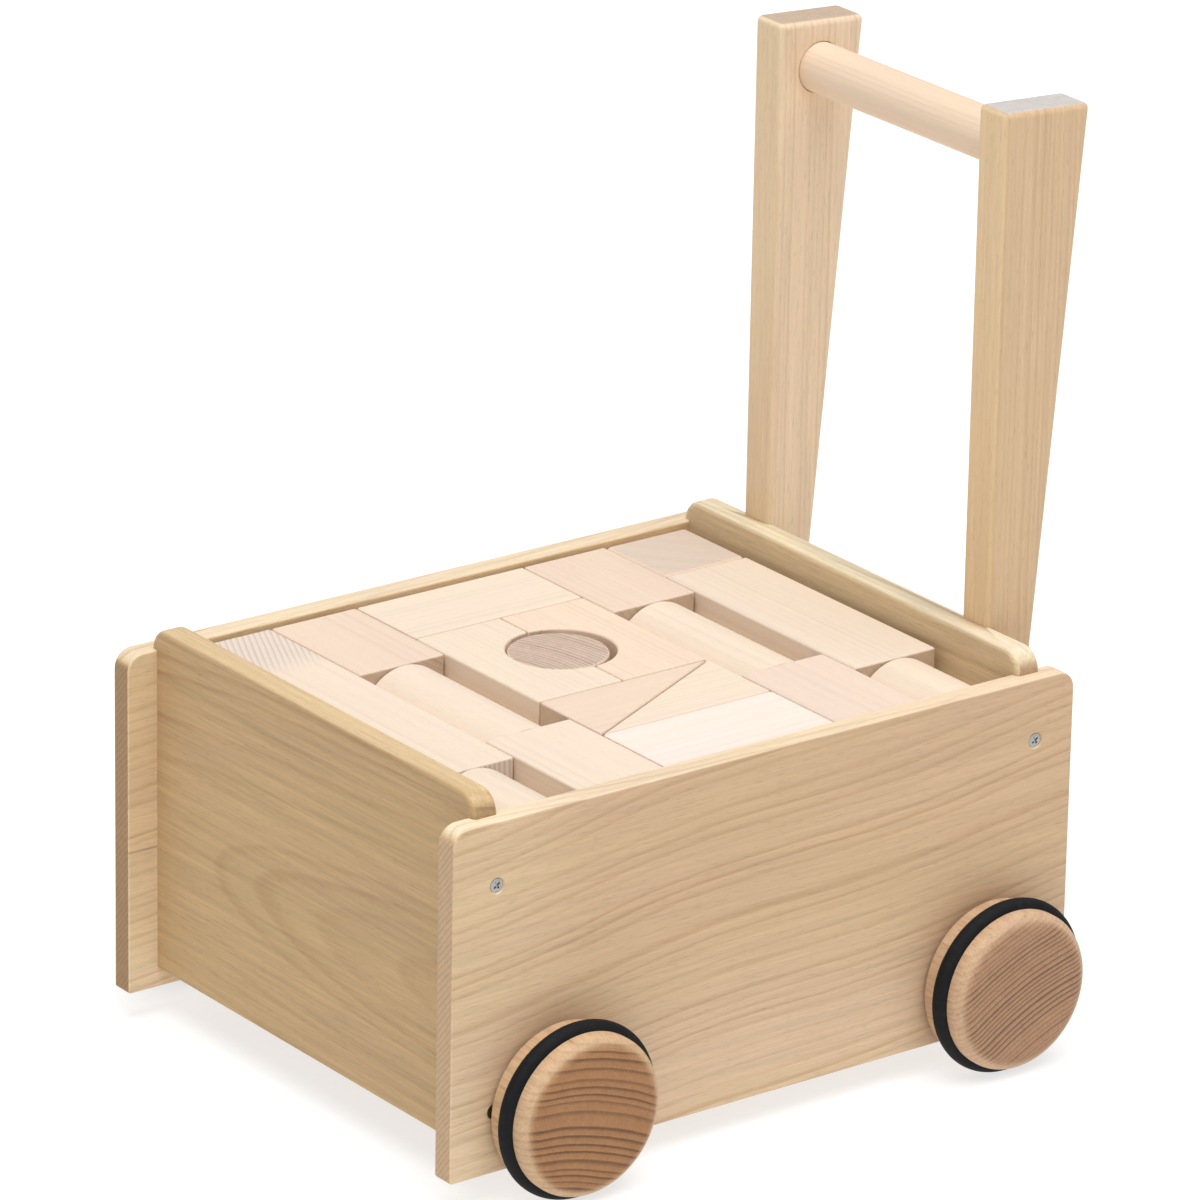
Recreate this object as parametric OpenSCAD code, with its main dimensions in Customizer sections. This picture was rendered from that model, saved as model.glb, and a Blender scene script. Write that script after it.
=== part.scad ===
// Wooden push cart with a handle, filled with building blocks.
// Front faces -Y, +X is its left side, +Z is up.
// The origin is on the ground, in the middle of the overall footprint.

/* [Tray] */
// Length of the two side boards
side_len = 360; // [355:1:400]
// Width over the two side boards
tray_w = 275; // [275:1:285]
// Thickness of the side boards
side_t = 12; // [10:0.5:12]
// Height of the side boards' lower edge above the ground
side_z = 15; // [12:1:20]
// Height of the side boards' upper edge above the ground
side_top = 188; // [187:0.5:200]
// Radius of the side boards' upper corners
side_corner_r = 9; // [3:1:20]
// Thickness of the front and rear boards
end_t = 13.5; // [12:0.5:14]
// Height of the front and rear boards' lower edge above the ground
end_z = 25; // [20:1:40]
// Height of the front and rear boards' upper edge above the ground
end_top = 199; // [190:1:210]
// Radius of the front and rear boards' upper corners
end_corner_r = 11; // [3:1:20]
// Distance of the front board behind the side boards' front ends
front_inset = 16.5; // [8:0.5:20]
// Distance of the rear board in front of the side boards' rear ends
rear_inset = 15; // [13:0.5:16]
// Depth of the housings in the side boards for the ends of the front and rear boards
end_let_in = 4.5; // [3:0.5:6]
// Thickness of the floor board
floor_t = 9; // [6:0.5:10]
// Depth of the grooves that hold the floor board
floor_groove = 4; // [2:0.5:5]

/* [Handle] */
// Height of the posts' front edges above the ground
post_top = 454; // [450:1:500]
// Fall of a post's top from its front edge to its back edge
post_top_fall = 3; // [0:0.5:5]
// Thickness of a post across the cart
post_t = 21.5; // [16:0.5:22]
// Depth of a post at its top
post_top_w = 50.5; // [46:0.5:52]
// Depth of a post at its foot
post_foot_w = 12.5; // [12:0.5:20]
// Distance between the middles of the two posts
post_span = 170; // [150:1:200]
// Depth of the housing cut into the rear board for a post
post_let_in = 3.5; // [3:0.5:6]
// Diameter of the handle bar
bar_d = 25; // [20:1:28]
// Height of the handle bar's axis
bar_z = 429; // [400:1:434]
// Depth of the blind holes that hold the handle bar
bar_let_in = 12; // [8:1:15]

/* [Wheels] */
// Diameter of the wooden wheels
wheel_d = 79; // [76:1:84]
// Thickness of the wooden wheels
wheel_t = 27.5; // [25:0.5:28]
// Gap between a wheel and the side board
wheel_gap = 2; // [2:0.5:4]
// Radius of the round-over on a wheel's outer edge
wheel_edge_r = 7; // [3:0.5:7]
// Diameter of the round rubber cord in a tyre
tyre_d = 9; // [6:0.5:9]
// Height of the tyre above the wooden rim
tyre_proud = 4; // [2.5:0.1:4]
// Distance of the tyre's middle from the wheel's inner face
tyre_pos = 13.5; // [12:0.5:14]
// Distance of the front axle behind the side boards' front ends
front_axle_pos = 60; // [55:1:80]
// Distance of the rear axle in front of the side boards' rear ends
rear_axle_pos = 48; // [46:1:70]
// Diameter of the steel axles
axle_d = 8; // [6:0.5:8]
// Depth of the blind bore that holds an axle end in a wheel
axle_let_in = 20; // [15:1:20]

/* [Blocks] */
// Side of the square that a block measures, with its share of the gap
block_unit = 49.5; // [48:0.1:49.5]
// Gap between two blocks
block_gap = 0.6; // [0.4:0.1:1]
// Height of the block tops above the ground
block_top = 186.3; // [184:0.1:187]
// Gap between the front board and the first column of blocks
block_front_gap = 0.5; // [0.3:0.1:1]
// Radius of the arch blocks' half-round cut-outs
arch_r = 26.6; // [26:0.1:27]
// Depth of the standing drum's top below the other block tops
drum_drop = 1.5; // [1:0.5:4]

/* [Hidden] */
$fn = 96;

// Outline of the cart, front to rear
post_behind = post_top_w - post_let_in - rear_inset;
front_y = -(side_len + post_behind) / 2;
rear_y = front_y + side_len;
inner_w = tray_w - 2 * side_t;
end_w = inner_w + 2 * end_let_in;
front_board_y = front_y + front_inset;
rear_board_y = rear_y - rear_inset - end_t;
hold_y = front_board_y + end_t;

// The wheels
wheel_r = wheel_d / 2;
tyre_r = tyre_d / 2;
tyre_ring_r = wheel_r + tyre_proud - tyre_r;
wheel_z = wheel_r + tyre_proud;
wheel_in_x = tray_w / 2 + wheel_gap;
wheel_inner_r = 2;
axle_r = axle_d / 2;
axle_end_x = wheel_in_x + axle_let_in;
axle_front_y = front_y + front_axle_pos;
axle_rear_y = rear_y - rear_axle_pos;

// The bushes that the axles turn in
bush_play = 0.08;
bush_wall = 2;
bush_r = axle_r + bush_wall;
bush_flange_r = bush_r + 3;
bush_flange_t = 1.4;

// The screws
screw_shank_r = 1.5;
screw_head_r = 3.9;
screw_head_t = 2.4;
screw_len = 40;
recess_arm = 4.2;
recess_w = 1.1;
recess_depth = 1.4;
screw_z_low = side_z + 30.5;
screw_z_high = side_top - 31;
screw_front_y = front_board_y + 8.1;
screw_rear_y = rear_board_y + 6;
post_screw_len = 20;
post_screw_z = [70, 160];

// The handle
post_y = rear_y - rear_inset - post_let_in;
bar_y = post_y + 23.5;
bar_end_x = (post_span - post_t) / 2 + bar_let_in;

// The blocks
block = block_unit - block_gap;
cols = 6;
rows = 5;
blocks_x = -rows * block_unit / 2;
blocks_y = hold_y + block_front_gap;
layer_2_z = block_top - 2 * block_unit;
layer_3_z = layer_2_z - block_unit / 2;
floor_z = layer_3_z - floor_t;
// The drum leans on the front far side of its round hole
drum_shift = [-1.1, -0.9];
arch_x = 2;
arch_y = 3;

WOOD = "burlywood";
END_WOOD = "tan";
BLOCK_WOOD = "wheat";
WHEEL_WOOD = "sienna";
ZINC = "silver";

// Top layer: name, first column, first row, columns, rows
BRICKS = [
    ["block_long_front", 0, 0, 1, 4],
    ["block_short_a", 1, 0, 1, 1.5],
    ["block_short_b", 1, 3.5, 1, 1.5],
    ["block_double_far", 2, 0, 2, 1],
    ["block_double_near", 2, 4, 2, 1],
    ["block_short_c", 4, 0, 1, 1.5],
    ["block_short_d", 4, 3.5, 1, 1.5],
    ["block_cube", 5, 0, 1, 1],
    ["block_long_rear", 5, 1, 1, 3]
];
// Lying cylinders: name, column, first row, rows
ROLLERS = [
    ["roller_front", 0, 4, 1],
    ["roller_long_front", 1, 1.5, 2],
    ["roller_long_rear", 4, 1.5, 2],
    ["roller_rear", 5, 4, 1]
];
SIDES = ["right", "left"];
ENDS = ["front", "rear"];
LEVELS = ["lower", "upper"];

// The sign of X on a side
function side_sign(s) = s == "left" ? 1 : -1;
// Where an axle and the screws lie along the cart, and how high the screws are
function axle_y(e) = e == "front" ? axle_front_y : axle_rear_y;
function screw_y(e) = e == "front" ? screw_front_y : screw_rear_y;
function screw_z(l) = l == "lower" ? screw_z_low : screw_z_high;

// A cylinder along X, centred on X = 0
module rod_x(r, len) {
    rotate([0, 90, 0])
        cylinder(r = r, h = len, center = true);
}

// A board outline with its two upper corners rounded, from the ground line up
module board_outline(w, h, r) {
    union() {
        square([w, h - r]);
        translate([r, 0])
            square([w - 2 * r, h]);
        for (x = [r, w - r])
            translate([x, h - r])
                circle(r = r);
    }
}

// The floor board, which reaches into the grooves by the given depth
module floor_body(let_in) {
    translate([-inner_w / 2 - let_in, hold_y - let_in, floor_z])
        cube([inner_w + 2 * let_in, rear_board_y - hold_y + 2 * let_in, floor_t]);
}

// A side board with its floor groove, housings, bush holes and screw holes
module side_panel(s) {
    color(WOOD)
        difference() {
            translate([side_sign(s) * (tray_w / 2 - side_t / 2) - side_t / 2, front_y, side_z])
                rotate([90, 0, 90])
                    linear_extrude(side_t)
                        board_outline(side_len, side_top - side_z, side_corner_r);
            floor_body(floor_groove);
            for (y = [front_board_y, rear_board_y])
                end_housing(y);
            for (e = ENDS)
                translate([0, axle_y(e), wheel_z])
                    rod_x(bush_r, tray_w + 2);
            for (e = ENDS, l = LEVELS)
                screw_body(e, s, l);
        }
}

// The space that a cross board takes in its housings, which run out at the side boards' upper edges
module end_housing(y) {
    translate([-end_w / 2, y, end_z])
        cube([end_w, end_t, end_top - end_z]);
}

// A cross board let into both side boards, before its holes are cut
module end_board(y) {
    translate([-end_w / 2, y + end_t, end_z])
        rotate([90, 0, 0])
            linear_extrude(end_t)
                board_outline(end_w, end_top - end_z, end_corner_r);
}

module front_panel() {
    color(END_WOOD)
        difference() {
            end_board(front_board_y);
            floor_body(floor_groove);
            for (s = SIDES, l = LEVELS)
                screw_body("front", s, l);
        }
}

module rear_panel() {
    color(END_WOOD)
        difference() {
            end_board(rear_board_y);
            floor_body(floor_groove);
            for (s = SIDES, l = LEVELS)
                screw_body("rear", s, l);
            for (s = SIDES)
                post_body(s);
            post_screw_set();
        }
}

module floor_panel() {
    color(END_WOOD)
        floor_body(floor_groove);
}

// A post with an upright front edge and a back edge that leans out upwards
module post_body(s) {
    h = post_top - end_z;
    translate([side_sign(s) * post_span / 2 - post_t / 2, post_y, end_z])
        rotate([90, 0, 90])
            linear_extrude(post_t)
                polygon([[0, 0], [post_foot_w, 0], [post_top_w, h - post_top_fall], [0, h]]);
}

module handle_post(s) {
    color(WOOD)
        difference() {
            post_body(s);
            bar_body();
            post_screw_set();
        }
}

module bar_body() {
    translate([0, bar_y, bar_z])
        rod_x(bar_d / 2, 2 * bar_end_x);
}

module handle_bar() {
    color(BLOCK_WOOD)
        bar_body();
}

// A countersunk screw along +Z, its head's face at Z = 0 and its tip below
module screw_solid(len) {
    translate([0, 0, -screw_head_t])
        cylinder(r1 = screw_shank_r, r2 = screw_head_r, h = screw_head_t);
    translate([0, 0, -len])
        cylinder(r = screw_shank_r, h = len - screw_head_t);
}

module cross_recess() {
    for (a = [0, 90])
        rotate(a)
            translate([-recess_arm / 2, -recess_w / 2, -recess_depth])
                cube([recess_arm, recess_w, recess_depth + 1]);
}

// The screw that holds one end of a cross board through a side board
module at_screw(e, s, l) {
    translate([side_sign(s) * tray_w / 2, screw_y(e), screw_z(l)])
        rotate([0, side_sign(s) * 90, 0])
            children();
}

module screw_body(e, s, l) {
    at_screw(e, s, l)
        screw_solid(screw_len);
}

module screw(e, s, l) {
    color(ZINC)
        difference() {
            screw_body(e, s, l);
            at_screw(e, s, l)
                cross_recess();
        }
}

// The screws that hold the posts, driven from inside the tray
module post_screw_set() {
    for (s = SIDES, z = post_screw_z)
        translate([side_sign(s) * post_span / 2, rear_board_y, z])
            rotate([90, 0, 0])
                screw_solid(post_screw_len);
}

module post_screws() {
    color(ZINC)
        post_screw_set();
}

// A flanged nylon bush with its flange outside the side board
module bush(e, s) {
    color("gainsboro")
        translate([side_sign(s) * tray_w / 2, axle_y(e), wheel_z])
            rotate([0, side_sign(s) * 90, 0])
                difference() {
                    union() {
                        translate([0, 0, -side_t])
                            cylinder(r = bush_r, h = side_t);
                        cylinder(r = bush_flange_r, h = bush_flange_t);
                    }
                    translate([0, 0, -side_t - 1])
                        cylinder(r = axle_r + bush_play, h = side_t + bush_flange_t + 2);
                }
}

module axle(e) {
    color(ZINC)
        translate([0, axle_y(e), wheel_z])
            rod_x(axle_r, 2 * axle_end_x);
}

// Places a wheel part drawn along +Z from the wheel's inner face at Z = 0
module at_wheel(e, s) {
    translate([side_sign(s) * wheel_in_x, axle_y(e), wheel_z])
        rotate([0, side_sign(s) * 90, 0])
            children();
}

// Half the section of a wooden wheel, with both rim edges rounded
module wheel_profile() {
    union() {
        square([wheel_r - wheel_edge_r, wheel_t]);
        translate([0, wheel_inner_r])
            square([wheel_r, wheel_t - wheel_edge_r - wheel_inner_r]);
        square([wheel_r - wheel_inner_r, wheel_inner_r]);
        translate([wheel_r - wheel_inner_r, wheel_inner_r])
            circle(r = wheel_inner_r);
        translate([wheel_r - wheel_edge_r, wheel_t - wheel_edge_r])
            circle(r = wheel_edge_r);
    }
}

module tyre_ring() {
    translate([0, 0, tyre_pos])
        rotate_extrude()
            translate([tyre_ring_r, 0])
                circle(r = tyre_r);
}

module wheel(e, s) {
    color(WHEEL_WOOD)
        at_wheel(e, s)
            difference() {
                rotate_extrude()
                    wheel_profile();
                tyre_ring();
                translate([0, 0, -1])
                    cylinder(r = axle_r, h = axle_let_in + 1);
            }
}

module tyre(e, s) {
    color("dimgray")
        at_wheel(e, s)
            tyre_ring();
}

// A row of loose bricks under the top layer, laid front to rear
module loose_row(r, z, h) {
    color(BLOCK_WOOD)
        for (c = [0 : 2 : cols - 1])
            place_block(c, r - 1, z)
                cube([block, 2 * block_unit - block_gap, h - block_gap]);
}

// Moves a block to its column and row of the grid, its base at height z
module place_block(c, r, z) {
    translate([blocks_x + r * block_unit, blocks_y + c * block_unit, z])
        translate([block_gap / 2, block_gap / 2, block_gap / 2])
            children();
}

module brick(b) {
    color(BLOCK_WOOD)
        place_block(b[1], b[2], block_top - block_unit)
            cube([b[4] * block_unit - block_gap, b[3] * block_unit - block_gap, block]);
}

module roller(c) {
    len = c[3] * block_unit - block_gap;
    color(BLOCK_WOOD)
        place_block(c[1], c[2], block_top - block_unit)
            translate([len / 2, block / 2, block / 2])
                rod_x(block / 2, len);
}

// One of the two blocks that close a round hole between them
module arch(front) {
    h = block;
    len = 2 * block_unit - block_gap;
    color(BLOCK_WOOD)
        difference() {
            place_block(front ? arch_y - 1 : arch_y, arch_x - 1, block_top - block_unit)
                cube([len, block, h]);
            translate([blocks_x + arch_x * block_unit, blocks_y + arch_y * block_unit, 0])
                cylinder(r = arch_r, h = block_top + 1);
        }
}

module drum() {
    x = blocks_x + arch_x * block_unit + drum_shift[0];
    y = blocks_y + arch_y * block_unit + drum_shift[1];
    color(BLOCK_WOOD)
        translate([x, y, block_top - block_unit + block_gap / 2])
            cylinder(r = block / 2, h = block - drum_drop);
}

// One half of a block of two units that is sawn along its diagonal
module wedge(near) {
    w = block;
    len = 2 * block_unit - block_gap;
    cut = block_gap;
    color(BLOCK_WOOD)
        place_block(2, 3, block_top - block_unit)
            linear_extrude(block)
                if (near)
                    polygon([[w, cut], [w, len], [cut, len]]);
                else
                    polygon([[0, 0], [w - cut, 0], [0, len - cut]]);
}

front_panel();
rear_panel();
floor_panel();
handle_bar();
post_screws();
for (s = SIDES) {
    side_panel(s);
    handle_post(s);
}
for (e = ENDS) {
    axle(e);
}
for (e = ENDS, s = SIDES) {
    bush(e, s);
    wheel(e, s);
    tyre(e, s);
}
for (e = ENDS, s = SIDES, l = LEVELS) {
    screw(e, s, l);
}
for (r = [1 : rows]) {
    loose_row(r, layer_2_z, block_unit);
    loose_row(r, layer_3_z, block_unit / 2);
}
for (b = BRICKS) {
    brick(b);
}
for (c = ROLLERS) {
    roller(c);
}
arch(true);  // arch_front
arch(false);  // arch_rear
drum();
wedge(false);  // wedge_far
wedge(true);  // wedge_near
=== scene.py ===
import math
import random

import bmesh
import bpy
from mathutils import Matrix, Vector


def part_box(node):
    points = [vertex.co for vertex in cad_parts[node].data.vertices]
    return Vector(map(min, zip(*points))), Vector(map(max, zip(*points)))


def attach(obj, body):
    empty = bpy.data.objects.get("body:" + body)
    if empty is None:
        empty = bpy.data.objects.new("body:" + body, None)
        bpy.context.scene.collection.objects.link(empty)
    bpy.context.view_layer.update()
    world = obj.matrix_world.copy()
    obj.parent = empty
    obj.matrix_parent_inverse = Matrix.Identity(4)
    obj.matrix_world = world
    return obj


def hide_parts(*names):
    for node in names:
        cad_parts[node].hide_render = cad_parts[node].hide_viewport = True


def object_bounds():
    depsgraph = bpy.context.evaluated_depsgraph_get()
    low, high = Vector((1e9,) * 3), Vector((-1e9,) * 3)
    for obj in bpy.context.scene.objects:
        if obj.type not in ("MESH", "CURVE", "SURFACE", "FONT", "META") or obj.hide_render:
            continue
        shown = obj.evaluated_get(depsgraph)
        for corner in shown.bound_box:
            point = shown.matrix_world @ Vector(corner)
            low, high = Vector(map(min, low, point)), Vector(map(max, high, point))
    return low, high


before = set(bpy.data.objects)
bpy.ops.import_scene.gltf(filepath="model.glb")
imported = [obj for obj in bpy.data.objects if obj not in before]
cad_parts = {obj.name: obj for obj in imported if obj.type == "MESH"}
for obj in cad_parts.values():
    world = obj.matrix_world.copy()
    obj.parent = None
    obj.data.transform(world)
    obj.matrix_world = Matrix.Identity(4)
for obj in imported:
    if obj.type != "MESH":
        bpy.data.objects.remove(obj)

# Everything is in metres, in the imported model's frame: the front faces -Y, +X is the cart's left, +Z is up.
CAD_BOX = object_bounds()
MM = 0.001
SIDES = {"left": 1, "right": -1}
ENDS = ("front", "rear")
LEVELS = ("lower", "upper")

# ---------------------------------------------------------------- camera

CAMERA_AZIMUTH = 53.0486
CAMERA_ELEVATION = 20.825
CAMERA_ROLL = 1.0318
CAMERA_DISTANCE = 3.9392
CAMERA_LENS = 251.05
CAMERA_SENSOR = 36.0
CAMERA_REACH = 60
# Where the camera looks, measured from the middle of the CAD box
CAMERA_AIM = Vector((-0.00336, -0.01059, -0.01117))


def make_camera():
    """The camera looks down on the front left corner through a long lens."""
    azimuth = math.radians(CAMERA_AZIMUTH)
    elevation = math.radians(CAMERA_ELEVATION)
    back = Vector((
        math.sin(azimuth) * math.cos(elevation),
        -math.cos(azimuth) * math.cos(elevation),
        math.sin(elevation),
    ))
    data = bpy.data.cameras.new("camera")
    data.lens = CAMERA_LENS
    data.sensor_width = CAMERA_SENSOR
    data.clip_end = CAMERA_REACH
    camera = bpy.data.objects.new("camera", data)
    bpy.context.scene.collection.objects.link(camera)
    aim = (CAD_BOX[0] + CAD_BOX[1]) / 2 + CAMERA_AIM
    roll = Matrix.Rotation(math.radians(CAMERA_ROLL), 3, "Z").to_quaternion()
    camera.rotation_mode = "QUATERNION"
    camera.rotation_quaternion = (-back).to_track_quat("-Z", "Y") @ roll
    camera.location = aim + back * CAMERA_DISTANCE
    bpy.context.scene.camera = camera


# ---------------------------------------------------------------- mesh code

AXES = {"x": 0, "y": 1, "z": 2}
# Edges of an outline that turn by more than this many degrees are rounded over
ROUNDED_FROM = 30
# Edges of a finished piece that turn by more than this many degrees are shaded as sharp ones
SHARP_FROM = 35


def place(axis, along, a, b):
    """A point from its place along an axis and its two other coordinates, in X, Y, Z order."""
    point = [a, b]
    point.insert(AXES[axis], along)
    return Vector(point)


def new_object(name, bm):
    """An object from a bmesh, which is freed."""
    bmesh.ops.recalc_face_normals(bm, faces=bm.faces)
    mesh = bpy.data.meshes.new(name)
    bm.to_mesh(mesh)
    bm.free()
    piece = bpy.data.objects.new(name, mesh)
    bpy.context.scene.collection.objects.link(piece)
    return piece


def settle(piece):
    """Applies the piece's modifiers to its mesh."""
    graph = bpy.context.evaluated_depsgraph_get()
    mesh = bpy.data.meshes.new_from_object(piece.evaluated_get(graph))
    piece.modifiers.clear()
    piece.data = mesh


def arc(centre, radius, start, end, steps):
    """Points on an arc from one angle to another, in degrees."""
    turns = [math.radians(start + (end - start) * i / steps) for i in range(steps + 1)]
    return [(centre[0] + radius * math.cos(t), centre[1] + radius * math.sin(t)) for t in turns]


def board_outline(a0, a1, z0, z1, upper, lower):
    """A board's outline with rounded corners, anticlockwise from its lower left one."""
    return (
        arc((a0 + lower, z0 + lower), lower, 180, 270, 4)
        + arc((a1 - lower, z0 + lower), lower, 270, 360, 4)
        + arc((a1 - upper, z1 - upper), upper, 0, 90, 12)
        + arc((a0 + upper, z1 - upper), upper, 90, 180, 12)
    )


def prism(name, outline, axis, low, high, radius_at, segments=4):
    """An outline extruded along an axis, its sharp edges rounded.

    radius_at gives an edge's radius from the edge's middle.
    """
    bm = bmesh.new()
    base = bm.faces.new([bm.verts.new(place(axis, low, a, b)) for a, b in outline])
    top = bmesh.ops.extrude_face_region(bm, geom=[base])["geom"]
    moved = [v for v in top if isinstance(v, bmesh.types.BMVert)]
    bmesh.ops.translate(bm, vec=place(axis, high - low, 0, 0), verts=moved)
    bmesh.ops.recalc_face_normals(bm, faces=bm.faces)
    weight = bm.edges.layers.float.new("bevel_weight_edge")
    sharp = [e for e in bm.edges if e.calc_face_angle() > math.radians(ROUNDED_FROM)]
    radii = [radius_at((e.verts[0].co + e.verts[1].co) / 2) for e in sharp]
    widest = max(radii)
    for edge, radius in zip(sharp, radii):
        edge[weight] = radius / widest
    piece = new_object(name, bm)
    bevel = piece.modifiers.new("round_over", "BEVEL")
    bevel.limit_method = "WEIGHT"
    bevel.width = widest
    bevel.segments = segments
    settle(piece)
    return piece


def lathe(name, profile, centre, side=1, steps=96):
    """A profile of (distance along X, radius) turned about an X axis through centre, towards +X or -X."""
    bm = bmesh.new()
    rings = []
    for along, radius in profile:
        x = centre[0] + side * along
        if radius == 0:
            rings.append([bm.verts.new((x, centre[1], centre[2]))])
            continue
        turns = [2 * math.pi * i / steps for i in range(steps)]
        rings.append([
            bm.verts.new((x, centre[1] + radius * math.cos(t), centre[2] + radius * math.sin(t)))
            for t in turns
        ])
    for one, two in zip(rings, rings[1:] + rings[:1]):
        if len(one) == 1 and len(two) == 1:
            continue
        for i in range(steps):
            j = (i + 1) % steps
            corners = [one[i % len(one)], one[j % len(one)], two[j % len(two)], two[i % len(two)]]
            bm.faces.new(list(dict.fromkeys(corners)))
    return new_object(name, bm)


def cut(piece, *cutters):
    """Cuts each cutter's shape out of the piece."""
    for cutter in cutters:
        boolean = piece.modifiers.new("cut", "BOOLEAN")
        boolean.operation = "DIFFERENCE"
        boolean.solver = "EXACT"
        boolean.object = cutter
    settle(piece)


def drop(*objects):
    """Removes cutters that have done their work."""
    for one in objects:
        bpy.data.objects.remove(one)


def finish_piece(piece, material, body, nodes):
    """Shades a piece, gives it its material and its body, and hides the CAD nodes that it stands for."""
    piece.data.shade_smooth()
    piece.data.set_sharp_from_angle(angle=math.radians(SHARP_FROM))
    flat = piece.modifiers.new("flat_faces", "WEIGHTED_NORMAL")
    flat.keep_sharp = True
    piece.data.materials.clear()
    piece.data.materials.append(material)
    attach(piece, body)
    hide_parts(*nodes)
    return piece


# ---------------------------------------------------------------- material code


def rgb(red, green, blue):
    """A display colour from 0 to 255 as a linear colour."""
    shares = [c / 255 for c in (red, green, blue)]
    return tuple(c / 12.92 if c <= 0.04045 else ((c + 0.055) / 1.055) ** 2.4 for c in shares) + (1.0,)


class Graph:
    """Writes the node tree of one material."""

    def __init__(self, name):
        self.material = bpy.data.materials.new(name)
        self.material.use_nodes = True
        self.tree = self.material.node_tree
        self.shader = self.tree.nodes["Principled BSDF"]

    def feed(self, socket, value):
        """Links another node's output to a socket, or sets a plain value on it."""
        if isinstance(value, bpy.types.NodeSocket):
            self.tree.links.new(value, socket)
        else:
            socket.default_value = value

    def surface(self, **inputs):
        """Feeds the shader's own sockets, with each name's spaces written as _."""
        for name, value in inputs.items():
            self.feed(self.shader.inputs[name.replace("_", " ")], value)

    def node(self, kind, inputs, **settings):
        """A new node with its settings made and its inputs fed."""
        made = self.tree.nodes.new(kind)
        for key, value in settings.items():
            setattr(made, key, value)
        for key, value in inputs.items():
            self.feed(made.inputs[key], value)
        return made

    def math(self, operation, *values):
        return self.node("ShaderNodeMath", dict(enumerate(values)), operation=operation).outputs[0]

    def plus(self, one, two):
        return self.math("ADD", one, two)

    def minus(self, one, two):
        return self.math("SUBTRACT", one, two)

    def times(self, one, two):
        return self.math("MULTIPLY", one, two)

    def combine(self, x, y, z):
        return self.node("ShaderNodeCombineXYZ", {0: x, 1: y, 2: z}).outputs[0]

    def split(self, vector):
        return self.node("ShaderNodeSeparateXYZ", {0: vector}).outputs

    def noise(self, vector, detail, roughness=0.5, scale=1.0):
        inputs = {"Vector": vector, "Scale": scale, "Detail": detail, "Roughness": roughness}
        return self.node("ShaderNodeTexNoise", inputs).outputs["Fac"]

    def stretch(self, parts, fineness, seed):
        """A point from its parts along and across the grain, each scaled for a noise."""
        a, u, v = parts
        along, across, shift = fineness
        return self.combine(
            self.math("MULTIPLY_ADD", a, along, seed + shift),
            self.times(u, across),
            self.times(v, across),
        )

    def smooth(self, value, low, high):
        """Rises softly from 0 at low to 1 at high."""
        inputs = {"Value": value, "From Min": low, "From Max": high}
        return self.node("ShaderNodeMapRange", inputs, interpolation_type="SMOOTHSTEP").outputs["Result"]

    def scale(self, value, low, high):
        """Maps 0 to 1 onto low to high."""
        inputs = {"Value": value, "To Min": low, "To Max": high}
        return self.node("ShaderNodeMapRange", inputs).outputs["Result"]

    def mix(self, share, one, two, blend="MIX"):
        made = self.node("ShaderNodeMix", {0: share}, data_type="RGBA", blend_type=blend)
        self.feed(made.inputs[6], one)
        self.feed(made.inputs[7], two)
        return made.outputs[2]

    def tint(self, share, colour, tint):
        """Multiplies a share of a colour by a tint."""
        return self.mix(share, colour, self.mix(1.0, colour, tint, "MULTIPLY"))

    def ramp(self, value, stops):
        """A grey that goes through (position, shade) stops."""
        made = self.node("ShaderNodeValToRGB", {0: value})
        elements = made.color_ramp.elements
        while len(elements) < len(stops):
            elements.new(0.5)
        for element, (position, shade) in zip(elements, stops):
            element.position = position
            element.color = (shade, shade, shade, 1)
        return made.outputs[0]

    def bump(self, height, strength, distance):
        inputs = {"Height": height, "Strength": strength, "Distance": distance}
        self.surface(Normal=self.node("ShaderNodeBump", inputs).outputs["Normal"])


def darker(colour, share):
    """A colour scaled down to a share of its strength."""
    return tuple(c * share for c in colour[:3]) + (1.0,)


# How far a ring is from early wood to late wood, over one year's growth
YEAR = [(0.0, 0.0), (0.5, 0.18), (0.82, 1.0), (0.93, 0.75), (1.0, 0.0)]
# How finely each part of the figure varies along and across the grain, per metre, and how it shifts the seed
SWAY = (5, 16, 0)
SWELL = (22, 60, 7)
STREAK = (26, 900, 3)
BAND = (5, 210, 9)
DASH = (150, 2300, 5)
CLOUD = (7, 24, 11)
# The swell's share of the rings' wandering
SWELL_SHARE = 0.35
# How often fast and slow years change, per ring, how many rings they add, and the same for strong years
PACE_RATE = 0.31
PACE_RINGS = 2.2
FORCE_RATE = 0.43
# Where soft steps begin and end: strong years, pores, clouds, and faces that look to one side and get painted
# light
STRONG_YEARS = (0.36, 0.66)
PORE_STEP = (0.58, 0.72)
CLOUD_STEP = (0.3, 0.7)
PAINTED_FACE_STEP = (0.45, 0.9)
# A faint cool tint that comes and goes over the wood
CLOUD_TINT = (0.985, 0.965, 1.02, 1.0)
# Slanting lines of end grain: how far they sway, and for a curl their number per metre and their slant
HATCH_SWAY = 4.0
CURL_SWAY = 5.0
CURL_LINES = 150
CURL_SLANT = 2.2
CURL_SHARE = 0.8
# Two planks in one board: how many rings lie between them, how dark the lower one and the glue line are,
# and how far from the line its dark stops and is full
PLANK_SHIFT = 7.4
PLANK_DARK = 0.03
# The glue line's dark is partly the joint itself and partly painted shade, where the upper plank stands a
# little proud
GLUE_AND_STEP_SHADE = 0.3
GLUE_STEP = (0.9 * MM, 0.3 * MM)
WOOD_ROUGHNESS = (0.5, 0.68)
WOOD_SPECULAR = 0.28
WOOD_BUMP = (0.35, 0.12 * MM)


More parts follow.
